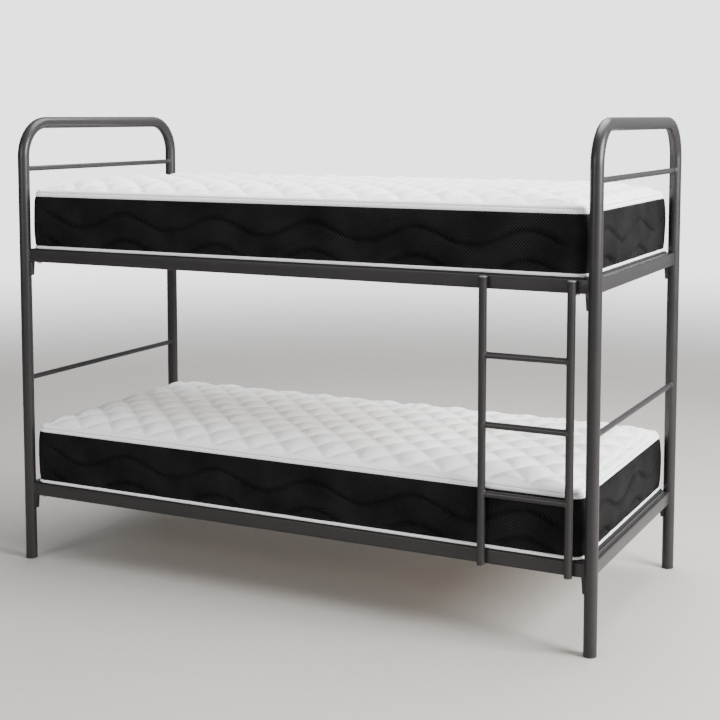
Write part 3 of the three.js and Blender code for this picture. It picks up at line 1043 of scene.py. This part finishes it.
def sewStitches(name, body, outline, spot, look, pad):
    x, y, z, thick = spot
    sides, stations = look["sides"], look["stations"]
    turn = math.radians(pad["stitchTurn"])
    reach = pad["roll"] - pad["stitchDip"] + look["proud"] + look["radius"] * look["lift"]
    out = pad["corner"] - pad["roll"] + reach * math.sin(turn)
    height = thick - pad["roll"] + reach * math.cos(turn)
    height += crownHeight(pad["corner"] - out, pad["corner"] - out, pad) * ease(pad["seam"], thick, height)
    path = outline["base"] + out * outline["way"]
    path = np.vstack([path, path[:1]])
    walked = np.concatenate([[0], np.cumsum(np.linalg.norm(np.diff(path, axis=0), axis=1))])
    number = int(walked[-1] / look["pitch"])
    pitch = walked[-1] / number

    def placeAt(distance):
        return np.array([np.interp(distance, walked, path[:, 0]), np.interp(distance, walked, path[:, 1])])

    points, faces = [], []
    for stitch in range(number):
        first = len(points)
        for part, size in stations:
            distance = stitch * pitch + part * look["length"]
            here = placeAt(distance)
            run = placeAt(distance + look["ahead"]) - here
            run = run / max(math.hypot(*run), 1e-9)
            sink = look["endSink"] if part in (0.0, 1.0) else 0.0
            radius = look["radius"] * size
            for angle in np.arange(sides) * math.tau / sides:
                points.append((x + here[0] + run[1] * radius * math.cos(angle),
                               y + here[1] - run[0] * radius * math.cos(angle),
                               z + height - sink + radius * math.sin(angle)))
        for row in range(len(stations) - 1):
            for a in range(sides):
                b = (a + 1) % sides
                faces.append((first + row * sides + a, first + row * sides + b,
                              first + (row + 1) * sides + b, first + (row + 1) * sides + a))
        faces.append(tuple(first + a for a in range(sides))[::-1])
        faces.append(tuple(first + (len(stations) - 1) * sides + a for a in range(sides)))
    piece = clothPiece(name, points, faces)
    faceOutwards(piece)
    piece.data.polygons.foreach_set("use_smooth", [True] * len(piece.data.polygons))
    return fitPiece(piece, body, "mattress_cloth", edgeThread)


seeds = {"upper": 40, "lower": 50}
for level in levels:
    body = level + "_mattress"
    pad, outline, spot = sewMattress(level + "MattressPad", body, mattressLook, seeds[level])
    sewPiping(level + "MattressPiping", body, outline, spot, pipingLook, mattressLook["corner"])
    sewStitches(level + "MattressStitches", body, outline, spot, stitchLook, mattressLook)
    print(level, "mattress sewn:", len(pad.data.polygons), "faces")

view = {"place": (2.1992, -4.2803, 1.5698), "azimuth": 26.577, "tilt": 5.126, "lens": 69.9, "sensor": 36,
        "shiftY": -0.165}
putDown()
bpy.ops.object.camera_add(location=view["place"],
                          rotation=(math.radians(90 - view["tilt"]), 0, math.radians(view["azimuth"])))
camera = bpy.context.object
camera.data.sensor_width = view["sensor"]
camera.data.lens = view["lens"]
camera.data.shift_y = view["shiftY"]
camera.data.dof.use_dof = False
bpy.context.scene.camera = camera

floorLook = {
    "dark": (0.40, 0.375, 0.35), "light": (0.44, 0.415, 0.39), "gloss": (0.5, 0.6), "shine": 0.3,
    "clouds": (0.9, 3.0), "smudges": (12.0, 3.0), "fade": (3.2, 10.5),
    "radius": 11.0, "sides": 96, "under": 0.0005,
}


def paleFloor(name, look):  # thins out to nothing far from the bed
    finish = Finish(name, look)
    where = finish.onPiece()
    finish.tint(finish.noise(where, "clouds"))
    finish.gloss(finish.noise(where, "smudges"))
    distance = finish.add("VectorMath", operation="LENGTH")
    finish.join(where, distance.inputs[0])
    shown = finish.spread(distance.outputs["Value"], 1.0, 0.0, *look["fade"])
    shown.node.interpolation_type = "SMOOTHSTEP"
    finish.join(shown, finish.shader.inputs["Alpha"])
    return finish.material


bpy.ops.mesh.primitive_circle_add(vertices=floorLook["sides"], radius=floorLook["radius"], fill_type="NGON",
                                  location=(0, 0, -floorLook["under"]))
floor = freshPiece("studioFloor")
settle(floor)
floor.data.materials.append(paleFloor("paleFloor", floorLook))

lamps = {
    "keyPanel": {"place": (4.4, -0.6, 2.6), "aim": (0, 0, 0.9), "size": 2.2, "power": 620},
    "frontPanel": {"place": (-1.6, -5.2, 2.4), "aim": (0, 0, 0.7), "size": 2.4, "power": 120},
    "overPanel": {"place": (0.4, 1.0, 4.2), "aim": (0, 0, 0), "size": 3.2, "power": 340},
}
for name, lamp in lamps.items():
    bpy.ops.object.light_add(type="AREA", location=lamp["place"])
    panel = bpy.context.object
    panel.name = name
    panel.data.shape = "SQUARE"
    panel.data.size = lamp["size"]
    panel.data.energy = lamp["power"]
    aim = Vector(lamp["aim"]) - Vector(lamp["place"])
    panel.rotation_mode = "QUATERNION"
    panel.rotation_quaternion = aim.to_track_quat("-Z", "Y")

airLook = {
    "backdrop": (0.9, 0.905, 0.915), "backdropLevel": 2.9, "light": (0.93, 0.96, 1.0),
    "from": (0.75, 0.35, 0.55), "weakBelow": -0.5, "weak": 0.2, "strong": 0.9,
}


def hangAir(look):  # an even backdrop, and a glow that is stronger on one side
    world = bpy.data.worlds.new("studioAir")
    bpy.context.scene.world = world
    world.use_nodes = True
    air = Wiring(world.node_tree)
    backdrop = air.tree.nodes["Background"]
    backdrop.inputs["Color"].default_value = (*look["backdrop"], 1)
    backdrop.inputs["Strength"].default_value = look["backdropLevel"]
    facing = air.add("VectorMath", operation="DOT_PRODUCT")
    facing.inputs[1].default_value = Vector(look["from"]).normalized()
    air.join(air.add("TexCoord").outputs["Generated"], facing.inputs[0])
    level = air.spread(facing.outputs["Value"], look["weak"], look["strong"], look["weakBelow"], 1.0)
    glow = air.add("Background", Color=(*look["light"], 1))
    air.join(level, glow.inputs["Strength"])
    mix = air.add("MixShader")
    air.join(air.add("LightPath").outputs["Is Camera Ray"], mix.inputs["Fac"])
    air.join(glow.outputs["Background"], mix.inputs[1])
    air.join(backdrop.outputs["Background"], mix.inputs[2])
    air.join(mix.outputs["Shader"], air.tree.nodes["World Output"].inputs["Surface"])


hangAir(airLook)
print("studio lit")
